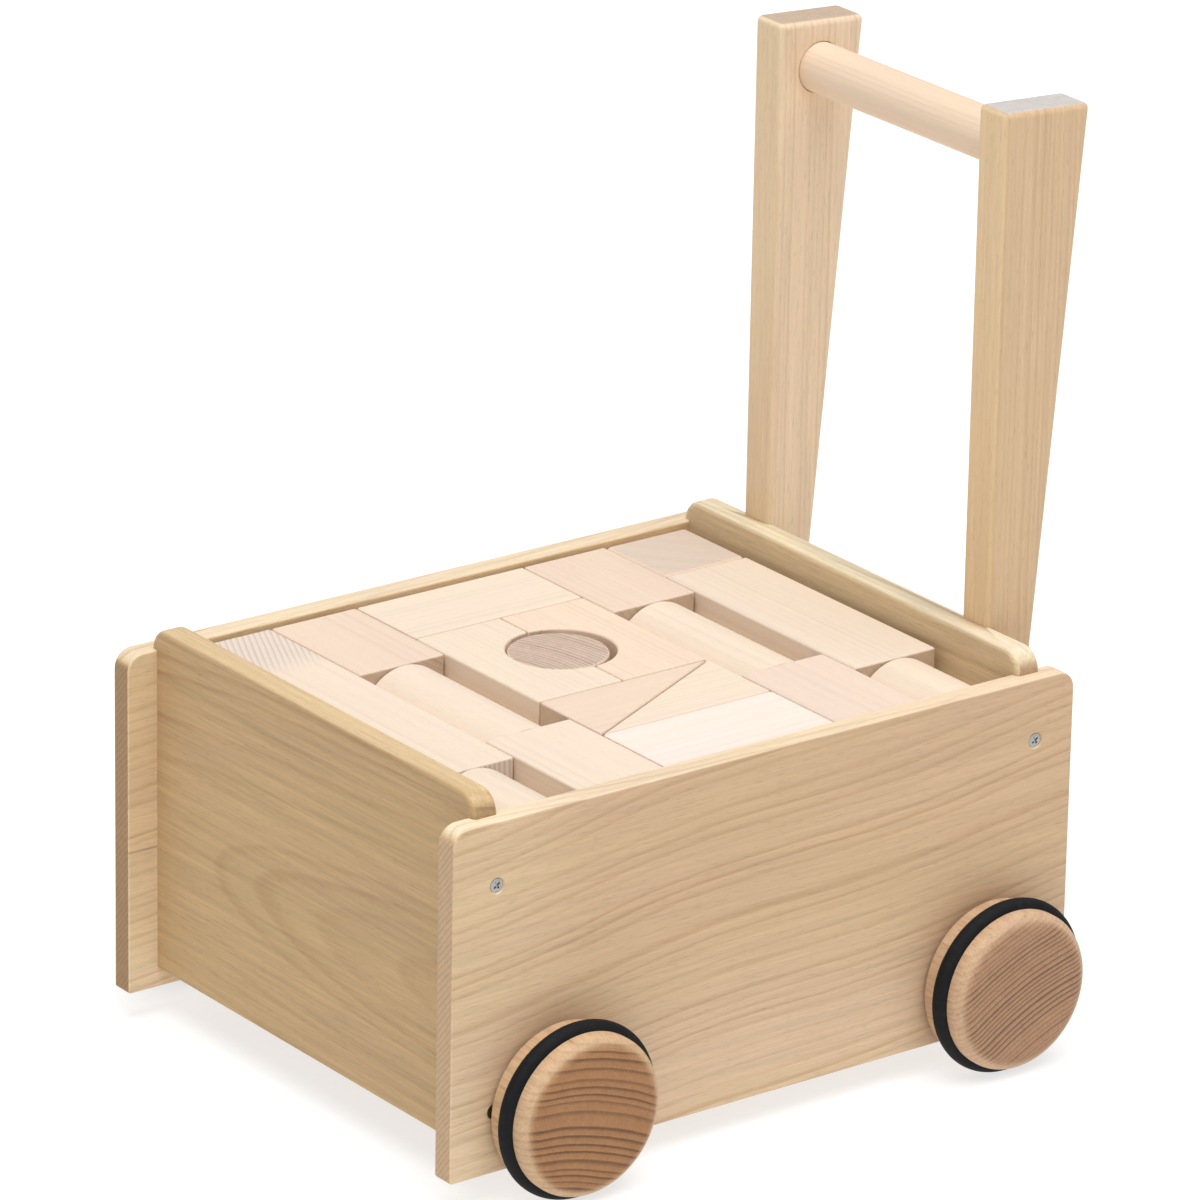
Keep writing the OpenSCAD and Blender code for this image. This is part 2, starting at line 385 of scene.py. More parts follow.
def count_rings(g, parts, sway, pith, ring, cone, waves, warp, seed):
    """How many rings lie between the pith and each point. Some years grow faster than others."""
    a, u, v = parts
    swell = g.minus(g.noise(g.stretch(parts, SWELL, seed), 1.0), 0.5)
    wobble = g.plus(g.times(sway, 2 * warp), g.times(swell, SWELL_SHARE * warp))
    drift = g.times(g.minus(a, cone[1]), cone[0])
    du = g.plus(g.minus(g.minus(u, pith[0]), drift), wobble)
    dv = g.plus(g.minus(v, pith[1]), wobble)
    for height, middle, length in waves:
        wave = g.math("COSINE", g.times(g.minus(a, middle), 2 * math.pi / length))
        dv = g.plus(dv, g.times(g.minus(1.0, wave), height))
    away = g.math("SQRT", g.plus(g.times(du, du), g.times(dv, dv)))
    rings = g.math("DIVIDE", away, ring)
    pace = g.noise(g.combine(g.times(rings, PACE_RATE), 0.0, seed + 13), 1.0)
    return g.plus(rings, g.times(pace, PACE_RINGS))


def late_wood(g, rings, steady, seed):
    """The dark lines of the rings, stronger in some years than in others."""
    year = g.ramp(g.math("FRACT", rings), YEAR)
    force = g.noise(g.combine(g.times(rings, FORCE_RATE), seed, 0.0), 1.0)
    return g.times(year, g.scale(g.smooth(force, *STRONG_YEARS), steady, 1.0))


def end_figure(g, parts, figure, sway, hatch, curl):
    """The lines that end grain shows: the rings themselves, or slanting lines."""
    a, u, v = parts
    if curl:
        slant = g.times(g.plus(a, g.times(u, CURL_SLANT)), CURL_LINES)
        slant = g.plus(slant, g.times(sway, CURL_SWAY))
    elif hatch:
        slant = g.plus(g.times(u, hatch[0]), g.times(v, hatch[1]))
        slant = g.plus(slant, g.times(sway, HATCH_SWAY))
    else:
        return figure
    return g.ramp(g.math("FRACT", slant), YEAR)


def glue_planks(g, shade, height, seam, lower, facing):
    """Two planks glued into one board: a thin dark line, the joint itself and painted shade under the upper
    plank's small step, and the lower plank a little darker.
    """
    line = g.smooth(g.math("ABSOLUTE", g.minus(height, seam)), *GLUE_STEP)
    line = g.times(line, g.minus(1.0, facing))
    shade = g.times(shade, g.minus(1.0, g.times(line, GLUE_AND_STEP_SHADE)))
    return g.times(shade, g.plus(g.times(lower, -PLANK_DARK), 1.0))


def wood(
    name, early, late, end, grain="y", pith=(0.0, 0.0), ring=5 * MM, cone=(0.0, 0.0), waves=(),
    warp=4 * MM, steady=0.10, lines=0.8, fibre=0.10, pores=0.25, blush=0.5, painted_fades=(), painted_face_light=(), seam=None,
    end_lines=0.9, end_late=0.62, end_from=(0.8, 0.98), hatch=None, curl=None, seed=0.0,
):
    """Solid wood: rings about a pith that runs along the grain, so faces, edges and end grain agree.

    early, late and end are the colours of early wood, late wood and end grain.
    The log:
      pith: the pith's place across the grain
      ring: the width of a ring
      cone: how the pith drifts sideways along the grain, (drift per metre, start)
      waves: long waves in the grain, (height, middle, length) of each
      warp: how far the rings wander
      steady: the least strength of a ring's line
    Its faces:
      lines: how strongly the rings show
      fibre, pores, blush: the strengths of the fine streaks, the short pores and the cloudy tint
      painted_fades: painted light, parts made paler along an axis, (axis, from, to, tint) of each
      painted_face_light: painted light, faces that look to one side made paler as if lit more, (axis, side,
          tint) of each
      seam: the height of a glue line between two planks
    Its end grain:
      end_lines, end_late: how strongly its lines show, and the share of the colour that they keep
      end_from: how squarely a face cuts the grain where end grain begins, and where it is complete
      hatch: slanting lines in place of the rings, the number per metre across each short side
      curl: a stretch along the grain, (start, end), where the fibres dive and end grain shows on a face
    """
    g = Graph(name)
    coords = g.node("ShaderNodeTexCoord", {}).outputs
    xyz = g.split(coords["Object"])
    normal = g.split(coords["Normal"])
    main = AXES[grain]
    parts = [xyz[main]] + [xyz[i] for i in range(3) if i != main]

    sway = g.minus(g.noise(g.stretch(parts, SWAY, seed), 1.5), 0.5)
    rings = count_rings(g, parts, sway, pith, ring, cone, waves, warp, seed)
    if seam:
        lower = g.math("LESS_THAN", parts[2], seam)
        rings = g.plus(g.times(lower, PLANK_SHIFT), rings)
    figure = late_wood(g, rings, steady, seed)
    streak = g.noise(g.stretch(parts, STREAK, seed), 3.0, 0.6)
    band = g.noise(g.stretch(parts, BAND, seed), 3.0, 0.65)
    dash = g.smooth(g.noise(g.stretch(parts, DASH, seed), 1.0), *PORE_STEP)
    cloud = g.smooth(g.noise(g.stretch(parts, CLOUD, seed), 2.0), *CLOUD_STEP)

    along = g.mix(g.times(figure, lines), early, late)
    along = g.mix(g.times(cloud, blush), along, CLOUD_TINT, "MULTIPLY")
    # Painted light: parts of the wood made paler along an axis
    for axis, start, stop, tint in painted_fades:
        along = g.tint(g.smooth(xyz[AXES[axis]], start, stop), along, tint)
    # Painted light: faces that look to one side are made paler, as if lit more
    for axis, side, tint in painted_face_light:
        along = g.tint(g.smooth(g.times(normal[AXES[axis]], side), *PAINTED_FACE_STEP), along, tint)

    facing = g.smooth(g.math("ABSOLUTE", normal[main]), *end_from)
    if curl:
        patch = g.smooth(parts[0], curl[1], curl[0])
        facing = g.math("MAXIMUM", facing, g.times(patch, CURL_SHARE))
    end_rings = end_figure(g, parts, figure, sway, hatch, curl)
    across = g.mix(g.times(end_rings, end_lines), end, darker(end, end_late))

    shade = g.plus(g.scale(streak, 1 - fibre, 1 + fibre), g.scale(band, -fibre, fibre))
    shade = g.times(shade, g.minus(1.0, g.times(dash, pores * 0.5)))
    if seam:
        shade = glue_planks(g, shade, parts[2], seam, lower, facing)
    colour = g.mix(1.0, g.mix(facing, along, across), g.combine(shade, shade, shade), "MULTIPLY")
    roughness = g.scale(streak, *WOOD_ROUGHNESS)
    g.surface(Base_Color=colour, Roughness=roughness, Specular_IOR_Level=WOOD_SPECULAR)
    relief = g.minus(g.times(streak, 0.5), g.times(dash, 0.5))
    g.bump(g.minus(relief, g.times(figure, 0.3)), *WOOD_BUMP)
    return g.material


def rubber():
    """Matte black rubber with dust in its grain."""
    g = Graph("black_rubber")
    point = g.node("ShaderNodeTexCoord", {}).outputs["Object"]
    dust = g.noise(point, 4.0, scale=260.0)
    patch = g.noise(point, 2.0, scale=45.0)
    worn = g.times(g.smooth(dust, 0.45, 0.75), g.smooth(patch, 0.35, 0.7))
    colour = g.mix(worn, rgb(15, 16, 19), rgb(34, 34, 38))
    g.surface(Base_Color=colour, Roughness=g.scale(dust, 0.6, 0.85), Specular_IOR_Level=0.25)
    g.bump(dust, 0.25, 0.1 * MM)
    return g.material


def cloudy(name, dark, light, scale, smoothest, roughest, bump):
    """A hard material whose colour and gloss vary a little from place to place."""
    g = Graph(name)
    point = g.node("ShaderNodeTexCoord", {}).outputs["Object"]
    cloud = g.noise(point, 3.0, scale=scale)
    g.surface(Base_Color=g.mix(cloud, dark, light), Roughness=g.scale(cloud, smoothest, roughest))
    g.bump(cloud, bump, 0.05 * MM)
    return g


def zinc():
    """Zinc-plated steel."""
    g = cloudy("zinc_steel", rgb(132, 132, 129), rgb(196, 195, 190), 900.0, 0.22, 0.42, 0.2)
    g.surface(Metallic=1.0)
    return g.material


def nylon():
    """Natural nylon, slightly milky."""
    return cloudy("natural_nylon", rgb(214, 211, 200), rgb(235, 233, 226), 300.0, 0.4, 0.55, 0.1).material


# ---------------------------------------------------------------- boards

EDGE = 0.9 * MM
SIDE_ROUND = 1.1 * MM
SIDE_CORNER = 9 * MM
END_ROUND = 2.6 * MM
END_CORNER = 11 * MM
LOW_CORNER = 1.6 * MM
POST_ROUND = 3.3 * MM
# A board's upper edges lie within this height of its top
TOP_ZONE = 12 * MM
# A post's foot is only eased up to this height
FOOT_ZONE = 5 * MM
# A point this close to a face lies on it
TOUCH = 0.1 * MM

# Each board's early wood, late wood and end grain
SIDE_TONES = {
    "left": (rgb(212, 181, 143), rgb(186, 150, 111), rgb(203, 171, 135)),
    "right": (rgb(228, 201, 160), rgb(198, 165, 121), rgb(170, 136, 98)),
}
END_TONES = {
    "front": (rgb(196, 165, 120), rgb(172, 135, 91), rgb(185, 154, 116)),
    "rear": (rgb(226, 202, 162), rgb(200, 168, 124), rgb(190, 160, 128)),
}
POST_TONES = {
    "left": (rgb(219, 188, 150), rgb(196, 159, 116), rgb(203, 197, 192)),
    "right": (rgb(238, 213, 181), rgb(214, 184, 145), rgb(197, 174, 151)),
}
# Painted light: the boards' upper edges and the posts' front faces are made paler than the other faces, as if
# lit more
TOP_PAINTED_LIGHT = {
    "left": (1.24, 1.42, 1.62, 1.0),
    "right": (1.02, 1.10, 1.28, 1.0),
    "front": (1.22, 1.34, 1.48, 1.0),
    "rear": (1.10, 1.22, 1.40, 1.0),
}
POST_PAINTED_LIGHT = {
    "left": (1.17, 1.22, 1.20, 1.0),
    "right": (1.03, 1.04, 1.00, 1.0),
}
# Painted light: the side boards are made paler downwards, and the left one also towards its front end: (axis,
# from, to, tint)
LOW_PAINTED_LIGHT = ("z", 0.120, 0.030, (1.10, 1.15, 1.22, 1.0))
FRONT_PAINTED_LIGHT = ("y", -0.110, -0.175, (1.09, 1.14, 1.16, 1.0))
SIDE_PAINTED_LIGHT = {"left": [LOW_PAINTED_LIGHT, FRONT_PAINTED_LIGHT], "right": [LOW_PAINTED_LIGHT]}
# Only the right board is glued from two planks: the height of the glue line
SIDE_SEAM = {"left": None, "right": 0.088}
# End grain lines of the side boards per metre in X and in Z: they slant up towards the cart's left
END_HATCH = (-340, 280)
SIDE_SEED = {"left": 3.0, "right": 31.0}
POST_SEED = {"left": 41.0, "right": 57.0}

# Cutters for a bush's hole and a screw's countersink: (distance from the start, radius) of each point
BUSH_HOLE = [(0, 0), (0, 6 * MM), (30 * MM, 6 * MM), (30 * MM, 0)]
SCREW_SINK = [(0, 0), (0, 4.6 * MM), (-3.4 * MM, 1.8 * MM), (-9 * MM, 1.8 * MM), (-9 * MM, 0)]
# Where they start, from the board's outer face outwards
BUSH_HOLE_FROM = -20 * MM
SCREW_SINK_FROM = 0.5 * MM
# How much the handle bar's holes are wider and deeper than the bar
BAR_PLAY = 0.35 * MM
BAR_END_PLAY = 0.3 * MM
BAR_EDGE = 1.0 * MM


def middle_of(node):
    """The middle of a CAD node's box."""
    low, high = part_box(node)
    return (low + high) / 2


def radius_above(height, large, small):
    """Edges above a height get the large radius, the others the small one."""
    return lambda middle: large if middle.z > height else small


def side_cutters(side, face):
    """Cutters for the axle holes and the countersinks of a side board with its outer face at X = face."""
    sign = SIDES[side]
    cutters = []
    for end in ENDS:
        middle = middle_of(f"bush_{end}_{side}")
        start = (face + sign * BUSH_HOLE_FROM, middle.y, middle.z)
        cutters.append(lathe("hole", BUSH_HOLE, start, sign, 48))
        for level in LEVELS:
            middle = middle_of(f"screw_{end}_{side}_{level}")
            start = (face + sign * SCREW_SINK_FROM, middle.y, middle.z)
            cutters.append(lathe("sink", SCREW_SINK, start, sign, 48))
    return cutters


def side_board(side):
    """A side board. Its pith lies above it and outside its face, and its grain waves along it."""
    node = f"side_panel_{side}"
    low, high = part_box(node)
    outline = board_outline(low.y, high.y, low.z, high.z, SIDE_CORNER, LOW_CORNER)
    radius_at = radius_above(high.z - TOP_ZONE, SIDE_ROUND, EDGE)
    piece = prism(f"side_board_{side}", outline, "x", low.x, high.x, radius_at)
    sign = SIDES[side]
    face = high.x if sign > 0 else low.x
    cutters = side_cutters(side, face)
    cut(piece, *cutters)
    drop(*cutters)
    material = wood(
        f"side_wood_{side}", *SIDE_TONES[side], grain="y",
        pith=(face + sign * 34 * MM, 0.245), ring=5.2 * MM, cone=(sign * 0.02, 0.0),
        waves=((17 * MM, 0.25, 1.0), (3.5 * MM, -0.075, 0.3)), lines=0.68, fibre=0.15, blush=0.9,
        painted_fades=SIDE_PAINTED_LIGHT[side], painted_face_light=[("z", 1, TOP_PAINTED_LIGHT[side])], seam=SIDE_SEAM[side],
        end_late=0.8, hatch=END_HATCH, seed=SIDE_SEED[side],
    )
    finish_piece(piece, material, "cart", [node])


def end_board(end, cutters=()):
    """The front or rear board. The front one has a cathedral figure with its peak on the board's face."""
    node = f"{end}_panel"
    low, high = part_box(node)
    outline = board_outline(low.x, high.x, low.z, high.z, END_CORNER, LOW_CORNER)
    radius_at = radius_above(high.z - TOP_ZONE, END_ROUND, EDGE)
    piece = prism(f"{end}_board", outline, "y", low.y, high.y, radius_at, 5)
    if cutters:
        cut(piece, *cutters)
    if end == "front":
        log = {"pith": (low.y - 29 * MM, 0.096), "cone": (0.158, 0.0), "ring": 7.2 * MM, "seed": 12.0}
    else:
        log = {"pith": (high.y + 60 * MM, 0.24), "cone": (0.05, 0.0), "ring": 4.2 * MM, "seed": 19.0}
    material = wood(
        f"{end}_wood", *END_TONES[end], grain="x", warp=4.5 * MM, lines=0.48, fibre=0.24,
        blush=0.9, painted_face_light=[("z", 1, TOP_PAINTED_LIGHT[end])], **log,
    )
    finish_piece(piece, material, "cart", [node])


def post_corners(side):
    """The corners of a post's outline in Y and Z, from its CAD mesh.

    The front edge is upright, the back edge leans back and the top falls to the back.
    """
    node = f"handle_post_{side}"
    low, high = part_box(node)
    points = [vertex.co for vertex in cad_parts[node].data.vertices]
    foot = max(point.y for point in points if point.z < low.z + TOUCH)
    back = max(point.z for point in points if point.y > high.y - TOUCH)
    return [(low.y, low.z), (foot, low.z), (high.y, back), (low.y, high.z)]


def bar_drill():
    """A cutter for the handle bar's blind holes in both posts."""
    low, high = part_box("handle_bar")
    middle = (low + high) / 2
    reach = high.x + BAR_END_PLAY
    hole = (high.z - low.z) / 2 + BAR_PLAY
    profile = [(0, 0), (0, hole), (2 * reach, hole), (2 * reach, 0)]
    return lathe("drill", profile, (-reach, middle.y, middle.z))


def handle_post(side):
    """A tapered post, sawn so that its rings show as straight lines on its faces."""
    node = f"handle_post_{side}"
    low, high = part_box(node)
    radius_at = radius_above(low.z + FOOT_ZONE, POST_ROUND, EDGE)
    piece = prism(f"post_{side}", post_corners(side), "x", low.x, high.x, radius_at, 5)
    drill = bar_drill()
    cut(piece, drill)
    drop(drill)
    material = wood(
        f"post_wood_{side}", *POST_TONES[side], grain="z",
        pith=((low.x + high.x) / 2 - 8 * MM, low.y - 0.30), ring=3.3 * MM, warp=2.6 * MM, lines=0.5,
        fibre=0.13, painted_face_light=[("y", -1, POST_PAINTED_LIGHT[side])], end_lines=0.35, end_late=0.8, seed=POST_SEED[side],
    )
    return finish_piece(piece, material, "cart", [node])


def rod_profile(length, radius, edge):
    """A rod's profile with rounded rims."""
    near = arc((edge, radius - edge), edge, 180, 90, 4)
    far = [(length - along, out) for along, out in reversed(near)]
    return [(0, 0)] + near + far + [(length, 0)]


def handle_bar():
    """The round grip between the posts, of pale, even beech."""
    low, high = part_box("handle_bar")
    middle = (low + high) / 2
    profile = rod_profile(high.x - low.x, (high.z - low.z) / 2, BAR_EDGE)
    piece = lathe("grip_bar", profile, (low.x, middle.y, middle.z))
    material = wood(
        "bar_beech", rgb(236, 212, 184), rgb(220, 190, 158), rgb(212, 186, 160), grain="x",
        pith=(middle.y - 0.09, middle.z - 0.05), ring=3 * MM, warp=1.5 * MM, lines=0.35, fibre=0.05,
        pores=0.08, seed=77.0,
    )
    finish_piece(piece, material, "cart", ["handle_bar"])


# ---------------------------------------------------------------- screws

# How far a screw's head lies under the board's face
SCREW_SUNK = 0.45 * MM
# A screw from its head to its tip: (distance outwards, radius) of each point
SCREW_PROFILE = [
    (0.05 * MM, 0), (0, 2.9 * MM), (-0.15 * MM, 3.45 * MM), (-0.45 * MM, 3.6 * MM),
    (-2.6 * MM, 1.5 * MM), (-30 * MM, 1.5 * MM), (-36 * MM, 0.6 * MM), (-37 * MM, 0),
]
# The cutter for one arm of the cross recess, and the angles of both arms
RECESS_SIZE = (1.6 * MM, 4.0 * MM, 0.95 * MM)
RECESS_TURNS = (35, 125)


def turned_box(name, centre, turn, size):
    """A box of a size, turned about an X axis through its centre."""
    bm = bmesh.new()
    bmesh.ops.create_cube(bm, size=1.0)
    turned = Matrix.Rotation(math.radians(turn), 4, "X") @ Matrix.Diagonal((*size, 1.0))
    bmesh.ops.transform(bm, matrix=Matrix.Translation(centre) @ turned, verts=bm.verts)
    return new_object(name, bm)


def screw(end, side, level):
    """A countersunk zinc screw with a cross recess."""
    node = f"screw_{end}_{side}_{level}"
    low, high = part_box(node)
    middle = (low + high) / 2
    sign = SIDES[side]
    face = (high.x if sign > 0 else low.x) - sign * SCREW_SUNK
    centre = (face, middle.y, middle.z)
    piece = lathe(f"cross_{node}", SCREW_PROFILE, centre, sign, 40)
    cutters = [turned_box("arm", centre, turn, RECESS_SIZE) for turn in RECESS_TURNS]
    cut(piece, *cutters)
    drop(*cutters)
    finish_piece(piece, ZINC, "cart", [node])


# ---------------------------------------------------------------- wheels

WHEEL_TONES = {
    "front": (rgb(207, 174, 136), rgb(180, 142, 104), rgb(173, 125, 84)),
    "rear": (rgb(205, 172, 138), rgb(180, 143, 108), rgb(180, 139, 107)),
}
# The pith of each wheel's wood, from the wheel's middle in Y and Z, and the width of its rings
WHEEL_PITH = {
    ("front", "left"): ((-42 * MM, -150 * MM), 4.2 * MM),
    ("rear", "left"): ((64 * MM, -150 * MM), 2.5 * MM),
    ("front", "right"): ((70 * MM, -110 * MM), 3.6 * MM),
    ("rear", "right"): ((-80 * MM, -125 * MM), 3.1 * MM),
}
# The radius of a wheel's inner rim, and how far its outer round-over reaches inwards and along the axle
INNER_RIM = 2 * MM
OUTER_REACH = 10.2 * MM
OUTER_WIDTH = 6.6 * MM


def wheel_profile(width, radius, groove_at, groove_ring, groove):
    """From the bore round the inner face, the rim with its tyre groove and the large outer round-over."""
    half = math.degrees(math.asin((radius - groove_ring) / groove))
    steps = 10
    turns = [math.radians(90 * i / steps) for i in range(steps + 1)]
    start = width - OUTER_WIDTH
    base = radius - OUTER_REACH
    return (
        [(0, 0)]
        + arc((INNER_RIM, radius - INNER_RIM), INNER_RIM, 180, 90, 4)
        + arc((groove_at, groove_ring), groove, 180 - half, 360 + half, 16)
        + [(start + OUTER_WIDTH * math.sin(t), base + OUTER_REACH * math.cos(t)) for t in turns]
        + [(width, 0)]
    )


def wheel(end, side):
    """A wooden wheel, cut across its log, and the rubber ring in its groove."""
    node = f"wheel_{end}_{side}"
    tyre_node = f"tyre_{end}_{side}"
    body = f"{end}_axle_set"
    low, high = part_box(node)
    tyre_low, tyre_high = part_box(tyre_node)
    middle = (low + high) / 2
    sign = SIDES[side]
    inner = low.x if sign > 0 else high.x
    centre = (inner, middle.y, middle.z)
    cord = (tyre_high.x - tyre_low.x) / 2
    ring = (tyre_high.y - tyre_low.y) / 2 - cord
    along = abs((tyre_low.x + tyre_high.x) / 2 - inner)

    profile = wheel_profile(high.x - low.x, (high.z - low.z) / 2, along, ring, cord)
    piece = lathe(f"wood_wheel_{end}_{side}", profile, centre, sign, 128)
    offset, width = WHEEL_PITH[(end, side)]
    material = wood(
        f"wheel_wood_{end}_{side}", *WHEEL_TONES[end], grain="x",
        pith=(middle.y + offset[0], middle.z + offset[1]), ring=width, warp=1.6 * MM, steady=0.5,
        lines=0.5, fibre=0.2, pores=0.6, blush=0.8, end_lines=1.0, end_late=0.34, end_from=(0.80, 0.985),
        seed=middle.y * 100,
    )
    finish_piece(piece, material, body, [node])

    tyre = lathe(f"ring_tyre_{end}_{side}", arc((along, ring), cord, 0, 360, 32)[:-1], centre, sign, 128)
    finish_piece(tyre, RUBBER, body, [tyre_node])


# ---------------------------------------------------------------- blocks

BLOCK_EDGE = 1.3 * MM
CUBE_EDGE = 2.4 * MM
ARCH_RADIUS = 26.6 * MM
CREAM = rgb(234, 216, 194)
PEACH = rgb(230, 207, 186)
BLUSH = rgb(230, 209, 191)
STRAW = rgb(235, 211, 188)
PALE = rgb(242, 225, 213)
BLOCK_END = rgb(208, 184, 160)
CUBE_END = rgb(218, 199, 182)
CURL_END = rgb(226, 209, 197)
DRUM_END = rgb(206, 182, 164)
# The late wood's share of the early wood's colour
BLOCK_LATE = 0.84
# The colour of each block of the top layer
BLOCK_COLOURS = {
    "block_long_front": CREAM, "block_short_a": PEACH, "block_short_b": CREAM, "block_double_far": CREAM,
    "block_double_near": PALE, "block_short_c": PEACH, "block_short_d": BLUSH, "block_cube": STRAW,
    "block_long_rear": CREAM, "roller_front": CREAM, "roller_long_front": CREAM, "roller_long_rear": CREAM,
    "roller_rear": CREAM, "arch_front": CREAM, "arch_rear": STRAW, "drum": PEACH, "wedge_far": PEACH,
    "wedge_near": CREAM,
}
# The rows of the two layers under the top one, the pieces in each row and the gap between two pieces
ROW_KINDS = ("brick", "plank")
ROWS = 5
ROW_PIECES = 3
ROW_GAP = 0.6 * MM


def block_wood(name, colour, grain, centre, chance, **more):
    """Pale beech, cut from its own place in the log. What more says goes before the usual looks."""
    others = [centre[i] for i in range(3) if i != AXES[grain]]
    reach = [chance.uniform(0.05, 0.14) * chance.choice((-1, 1)) for _ in range(2)]
    look = {
        "pith": (others[0] + reach[0], others[1] + reach[1]), "ring": chance.uniform(2.6, 4.2) * MM,
        "warp": 2.0 * MM, "lines": 0.42, "fibre": 0.04, "pores": 0.12, "blush": 0.55,
        "end": BLOCK_END, "end_lines": 0.6, "seed": chance.uniform(0, 90),
    }
    look.update(more)
    return wood(name, early=colour, late=darker(colour, BLOCK_LATE), grain=grain, **look)


def block_look(node):
    """How a block's wood differs from the usual beech."""
    low, _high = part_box(node)
    middle = middle_of(node)
    if node == "drum":
        return {
            "pith": (middle.x + 26 * MM, middle.y - 95 * MM), "ring": 2.6 * MM, "steady": 0.5,
            "fibre": 0.14, "pores": 0.5, "end": DRUM_END, "end_lines": 1.0, "end_late": 0.52,
        }
    if node == "block_cube":
        return {"end": CUBE_END, "end_lines": 0.3}
    if node == "block_long_front":
        curl = (low.x + 30 * MM, low.x + 58 * MM)
        return {"curl": curl, "end": CURL_END, "end_lines": 1.0, "end_late": 0.7}
    return {}


def same_radius(radius):
    """The same radius on every edge."""
    return lambda _middle: radius


def rectangle(low, high):
    """A box's outline seen from above, anticlockwise."""
    return [(low.x, low.y), (high.x, low.y), (high.x, high.y), (low.x, high.y)]


def arch_outline(node):
    """An arch block seen from above: its round cut-out faces the other arch, round one common centre."""
    low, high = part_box(node)
    middle = (low.x + high.x) / 2
    gap = (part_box("arch_rear")[0].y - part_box("arch_front")[1].y) / 2
    half = math.degrees(math.acos(gap / ARCH_RADIUS))
    if node == "arch_front":
        cut_out = arc((middle, high.y + gap), ARCH_RADIUS, 270 + half, 270 - half, 40)
        return [(low.x, high.y), (low.x, low.y), (high.x, low.y), (high.x, high.y)] + cut_out
    cut_out = arc((middle, low.y - gap), ARCH_RADIUS, 90 + half, 90 - half, 40)
    return [(high.x, low.y), (high.x, high.y), (low.x, high.y), (low.x, low.y)] + cut_out


def block_outline(node):
    """A block's outline seen from above."""
    corners = rectangle(*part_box(node))
    if node == "wedge_near":
        return corners[1:]
    if node == "wedge_far":
        return [corners[0], corners[1], corners[3]]
    if node.startswith("arch"):
        return arch_outline(node)
    return corners


def block_shape(node):
    """The mesh of a block: a lying roller, the standing drum or a straight block."""
    low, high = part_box(node)
    middle = (low + high) / 2
    size = high - low
    if node.startswith("roller"):
        profile = rod_profile(size.x, size.z / 2, BLOCK_EDGE)
        return lathe(f"toy_{node}", profile, (low.x, middle.y, middle.z))
    if node == "drum":
        piece = lathe("toy_drum", rod_profile(size.z, size.x / 2, BLOCK_EDGE), (0, 0, 0))
        upright = Matrix.Rotation(-math.pi / 2, 4, "Y")
        piece.data.transform(Matrix.Translation((middle.x, middle.y, low.z)) @ upright)
        return piece
    edge = CUBE_EDGE if node == "block_cube" else BLOCK_EDGE
    return prism(f"toy_{node}", block_outline(node), "z", low.z, high.z, same_radius(edge), 3)


def block_grain(node):
    """The grain runs along a block's longer side. The drum and the cube show end grain on top."""
    if node in ("drum", "block_cube"):
        return "z"
    low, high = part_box(node)
    return "x" if high.x - low.x >= high.y - low.y else "y"


def top_blocks():
    """The blocks of the top layer, each loose on its own body."""
    chance = random.Random(5)
    for node, colour in BLOCK_COLOURS.items():
        piece = block_shape(node)
        material = block_wood(
            f"beech_{node}", colour, block_grain(node), middle_of(node), chance, **block_look(node),
        )
        finish_piece(piece, material, f"loose_{node}", [node])


def row_pieces(node):
    """The separate bricks or planks of one row, one behind the other."""
    low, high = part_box(node)
    pitch = (high.y - low.y + ROW_GAP) / ROW_PIECES
    pieces = []
    for i in range(ROW_PIECES):
        near = low.y + i * pitch
        outline = rectangle(Vector((low.x, near, 0)), Vector((high.x, near + pitch - ROW_GAP, 0)))
        name = f"toy_{node}_{i + 1}"
        pieces.append(prism(name, outline, "z", low.z, high.z, same_radius(BLOCK_EDGE), 2))
    return pieces


def loose_rows():
    """The rows of bricks and planks under the top layer."""
    chance = random.Random(8)
    for kind in ROW_KINDS:
        for row in range(1, ROWS + 1):
            node = f"{kind}_row_{row}"
            pieces = row_pieces(node)
            colour = chance.choice((CREAM, PEACH, STRAW, BLUSH))
            material = block_wood(f"beech_{node}", colour, "y", middle_of(node), chance)
            for piece in pieces:
                finish_piece(piece, material, "cart", [node])


# ---------------------------------------------------------------- kept CAD nodes


def keep_node(node, material):
    """A CAD node that shows as it is, in its real material."""
    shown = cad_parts[node]
    shown.data.materials.clear()
    shown.data.materials.append(material)


def kept_nodes():
    """The hidden floor, screws, axles and bushes."""
    floor_wood = wood(
        "floor_wood", *END_TONES["front"], grain="x",
        pith=(0.05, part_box("floor_panel")[0].z - 0.12), lines=0.7, seed=88.0,
    )
    keep_node("floor_panel", floor_wood)
    keep_node("post_screws", ZINC)
    for end in ENDS:
        keep_node(f"axle_{end}", ZINC)
        for side in SIDES:
            keep_node(f"bush_{end}_{side}", NYLON)


# ---------------------------------------------------------------- studio

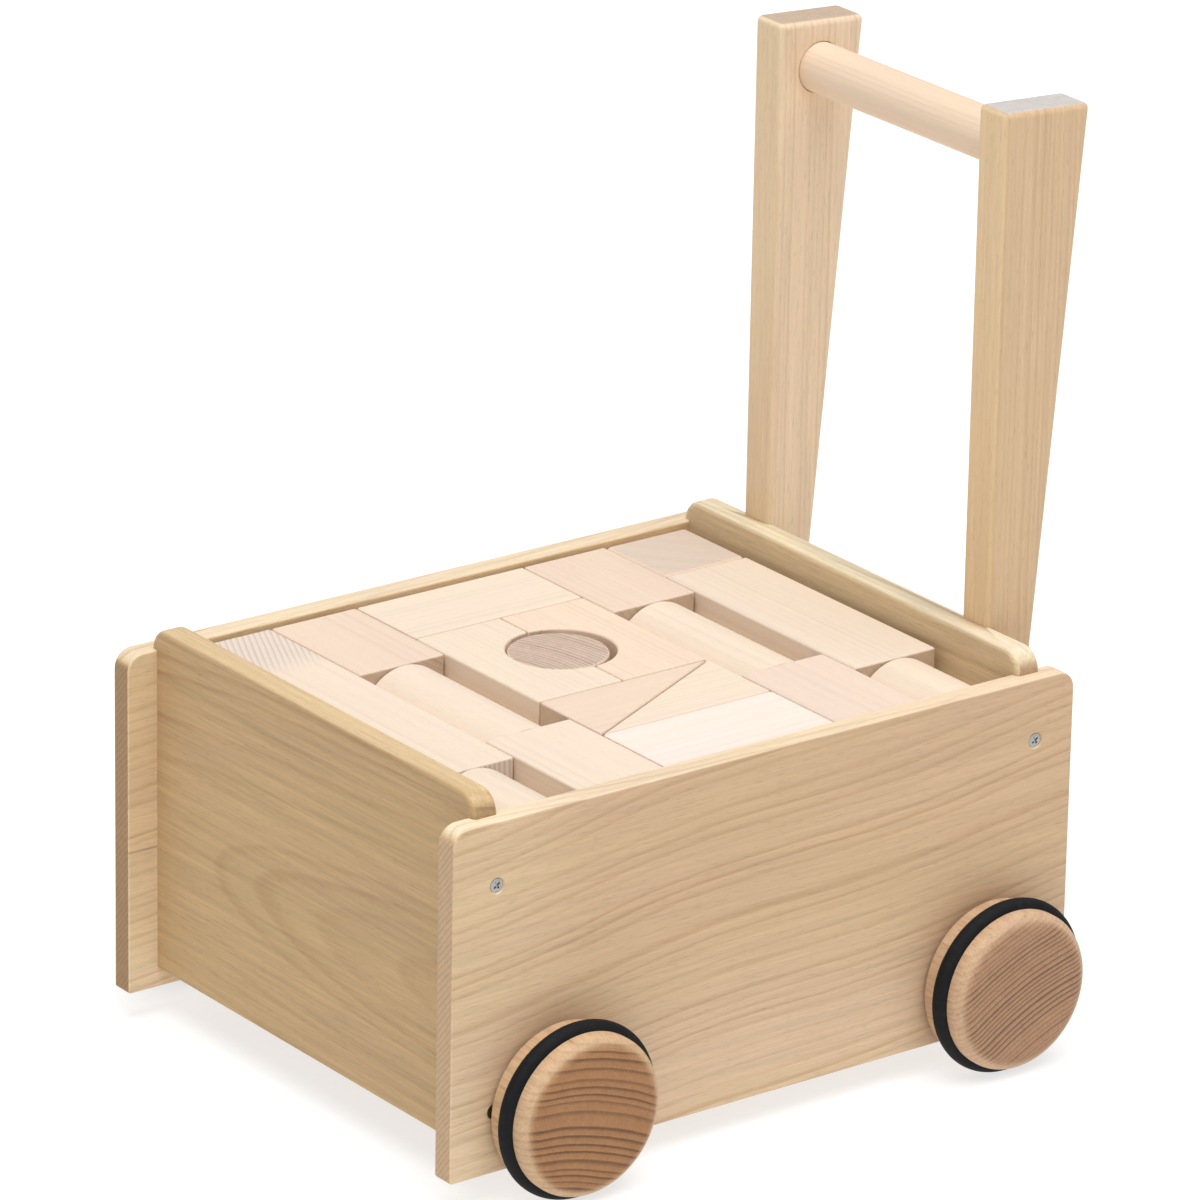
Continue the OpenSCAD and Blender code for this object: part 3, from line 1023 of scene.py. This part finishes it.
FLOOR_REACH = 9
FLOOR_COLOUR = (0.38, 0.38, 0.38, 1.0)
FLOOR_GLOW = 0.7
WHITE = (1.0, 1.0, 1.0, 1.0)
WORLD_STRENGTH = 0.35
# The soft light overhead: its strength, the angle it fills and the direction it comes from
OVERHEAD_STRENGTH = 2.9
OVERHEAD_SPREAD = 55
OVERHEAD_FROM = Vector((0.22, -0.09, 1.0))


def studio_floor():
    """A plain pale floor that glows a little, so that only a faint shadow shows on it."""
    bm = bmesh.new()
    bmesh.ops.create_grid(bm, x_segments=8, y_segments=8, size=FLOOR_REACH)
    floor = new_object("studio_floor", bm)
    g = Graph("studio_floor")
    g.surface(
        Base_Color=FLOOR_COLOUR, Emission_Color=WHITE, Emission_Strength=FLOOR_GLOW,
        Roughness=1.0, Specular_IOR_Level=0.0,
    )
    floor.data.materials.append(g.material)


def studio_light():
    """A large soft light overhead and pale surroundings."""
    world = bpy.data.worlds.new("studio")
    bpy.context.scene.world = world
    world.use_nodes = True
    background = world.node_tree.nodes["Background"].inputs
    background["Color"].default_value = WHITE
    background["Strength"].default_value = WORLD_STRENGTH

    sky = bpy.data.lights.new("overhead", "SUN")
    sky.energy = OVERHEAD_STRENGTH
    sky.angle = math.radians(OVERHEAD_SPREAD)
    lamp = bpy.data.objects.new("overhead", sky)
    bpy.context.scene.collection.objects.link(lamp)
    lamp.rotation_mode = "QUATERNION"
    lamp.rotation_quaternion = (-OVERHEAD_FROM).to_track_quat("-Z", "Y")

    view = bpy.context.scene.view_settings
    view.view_transform = "Standard"
    view.look = "None"
    view.exposure = 0.0
    view.gamma = 1.0


# ---------------------------------------------------------------- the object

ZINC = zinc()
RUBBER = rubber()
NYLON = nylon()

make_camera()
posts = [handle_post(side) for side in SIDES]
end_board("front")
end_board("rear", posts)
for board_side in SIDES:
    side_board(board_side)
handle_bar()
for wheel_end in ENDS:
    for wheel_side in SIDES:
        wheel(wheel_end, wheel_side)
        for screw_level in LEVELS:
            screw(wheel_end, wheel_side, screw_level)
top_blocks()
loose_rows()
kept_nodes()
studio_floor()
studio_light()
